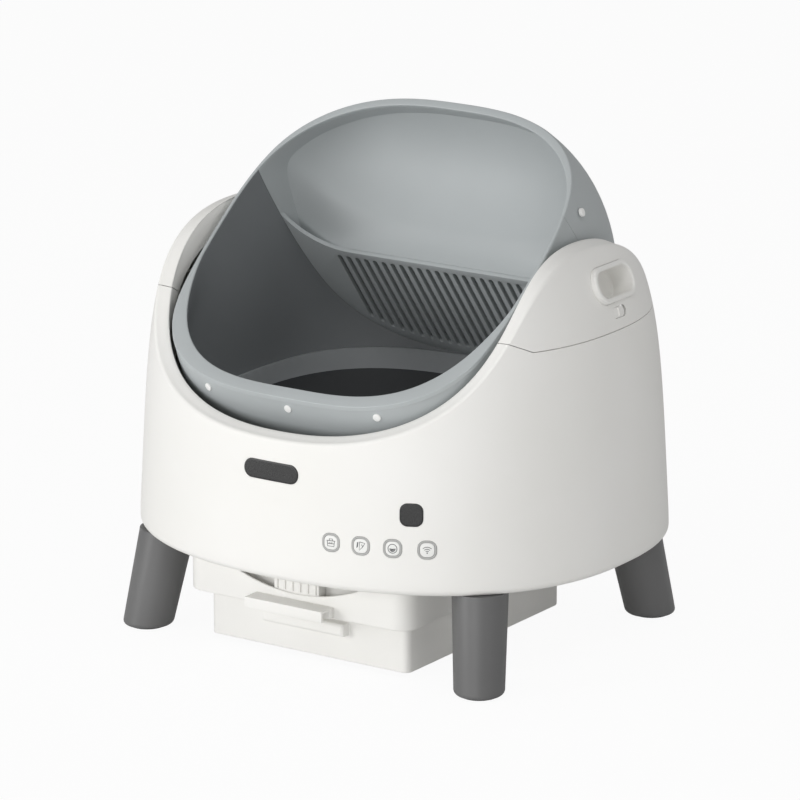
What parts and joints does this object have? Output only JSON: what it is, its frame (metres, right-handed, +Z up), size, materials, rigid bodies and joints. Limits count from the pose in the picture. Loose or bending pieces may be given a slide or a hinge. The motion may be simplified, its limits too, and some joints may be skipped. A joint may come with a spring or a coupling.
{
  "type": "open-top litter box",
  "caption": "Self-cleaning open-top litter box: a tilted grey drum with a sifting screen turns in a white domed shell on legs, over a slide-out waste drawer.",
  "frame": {"origin": "on the floor, midway between the four feet", "axes": "+Z up, the front with the keys faces -Y, +X is the right-hand side seen from the front looking along +Y"},
  "size_m": [0.5598, 0.482, 0.5491],
  "materials": {
    "shell_white": "satin moulded plastic",
    "key_white": "satin moulded plastic with a printed line icon",
    "drum_grey": "fine satin moulded plastic",
    "liner_grey": "matt rubber",
    "stud_white": "glossy",
    "leg_grey": "satin moulded plastic",
    "foot_rubber": "matt rubber",
    "steel": "plated steel",
    "bronze": "sintered bronze",
    "gear_plastic": "acetal",
    "dark_lens": "smoked gloss lens",
    "ring_grey": "satin moulded plastic",
    "board_green": "solder resist",
    "inlet_black": "moulded plastic"
  },
  "bodies": {
    "base": {"base_shell": "shell_white", "base_pan": "shell_white", "waste_chute": "shell_white", "front_left_leg": "leg_grey", "front_right_leg": "leg_grey", "rear_left_leg": "leg_grey", "rear_right_leg": "leg_grey", "rubber_feet": "foot_rubber", "leg_screws": "steel", "pan_screws": "steel", "gear_motor": "steel", "left_bearing_post": "shell_white", "right_bearing_post": "shell_white", "left_bush": "bronze", "right_bush": "bronze", "post_screws": "steel", "home_sensor": "board_green", "display_window": "dark_lens", "display_board": "board_green", "sensor_window": "dark_lens", "sensor_board": "board_green", "key_rings": "ring_grey", "key_boards": "board_green", "control_board": "board_green", "power_inlet": "inlet_black", "left_drawer_rail": "steel", "right_drawer_rail": "steel"},
    "drum": {"drum_bowl": "drum_grey", "drum_hood": "drum_grey", "sifting_screen": "drum_grey", "pocket_lid": "drum_grey", "floor_liner": "liner_grey", "rim_studs": "stud_white", "left_trunnion": "steel", "right_trunnion": "steel", "trunnion_screws": "steel", "ring_gear": "gear_plastic", "home_magnet": "steel"},
    "pinion": {"drive_pinion": "gear_plastic"},
    "drawer": {"drawer_frame": "shell_white", "drawer_handle": "shell_white", "waste_bin": "shell_white", "bag_ring": "ring_grey", "cartridge_holder": "shell_white", "odour_cartridge": "ring_grey"},
    "left_cap": {"left_ear_cap": "shell_white", "left_handle_cup": "shell_white"},
    "right_cap": {"right_ear_cap": "shell_white", "right_handle_cup": "shell_white"},
    "left_latch": {"left_latch": "shell_white"},
    "right_latch": {"right_latch": "shell_white"},
    "key_empty": {"key_empty": "key_white"},
    "key_clean": {"key_clean": "key_white"},
    "key_pause": {"key_pause": "key_white"},
    "key_wireless": {"key_wireless": "key_white"}
  },
  "joints": [
    {"name": "drum_turn", "type": "hinge", "parent": "base", "child": "drum", "pos_m": [0, 0, 0.362], "axis": [1, 0, 0], "range_deg": [-220, 25]},
    {"name": "pinion_turn", "type": "hinge", "parent": "base", "child": "pinion", "pos_m": [0.213, 0.04514, 0.3021], "axis": [1, 0, 0], "range_deg": [-100, 880]},
    {"name": "drawer_slide", "type": "slide", "parent": "base", "child": "drawer", "axis": [0, -1, 0], "range_m": [0, 0.255]},
    {"name": "left_cap_lift", "type": "slide", "parent": "base", "child": "left_cap", "axis": [0, 0, 1], "range_m": [0, 0.06]},
    {"name": "right_cap_lift", "type": "slide", "parent": "base", "child": "right_cap", "axis": [0, 0, 1], "range_m": [0, 0.06]},
    {"name": "left_latch_slide", "type": "slide", "parent": "left_cap", "child": "left_latch", "axis": [0, 1, 0], "range_m": [0, 0.004]},
    {"name": "right_latch_slide", "type": "slide", "parent": "right_cap", "child": "right_latch", "axis": [0, 1, 0], "range_m": [0, 0.004]},
    {"name": "key_empty_press", "type": "slide", "parent": "base", "child": "key_empty", "axis": [-0.1611, 0.9859, -0.0459], "range_m": [0, 0.0012], "stiffness_N_per_m": 400},
    {"name": "key_clean_press", "type": "slide", "parent": "base", "child": "key_clean", "axis": [-0.2593, 0.9647, -0.046], "range_m": [0, 0.0012], "stiffness_N_per_m": 400},
    {"name": "key_pause_press", "type": "slide", "parent": "base", "child": "key_pause", "axis": [-0.3712, 0.9274, -0.0459], "range_m": [0, 0.0012], "stiffness_N_per_m": 400},
    {"name": "key_wireless_press", "type": "slide", "parent": "base", "child": "key_wireless", "axis": [-0.4972, 0.8664, -0.046], "range_m": [0, 0.0012], "stiffness_N_per_m": 400}
  ],
  "couplings": [
    {"joint": "pinion_turn", "follows": "drum_turn", "ratio": -4}
  ]
}
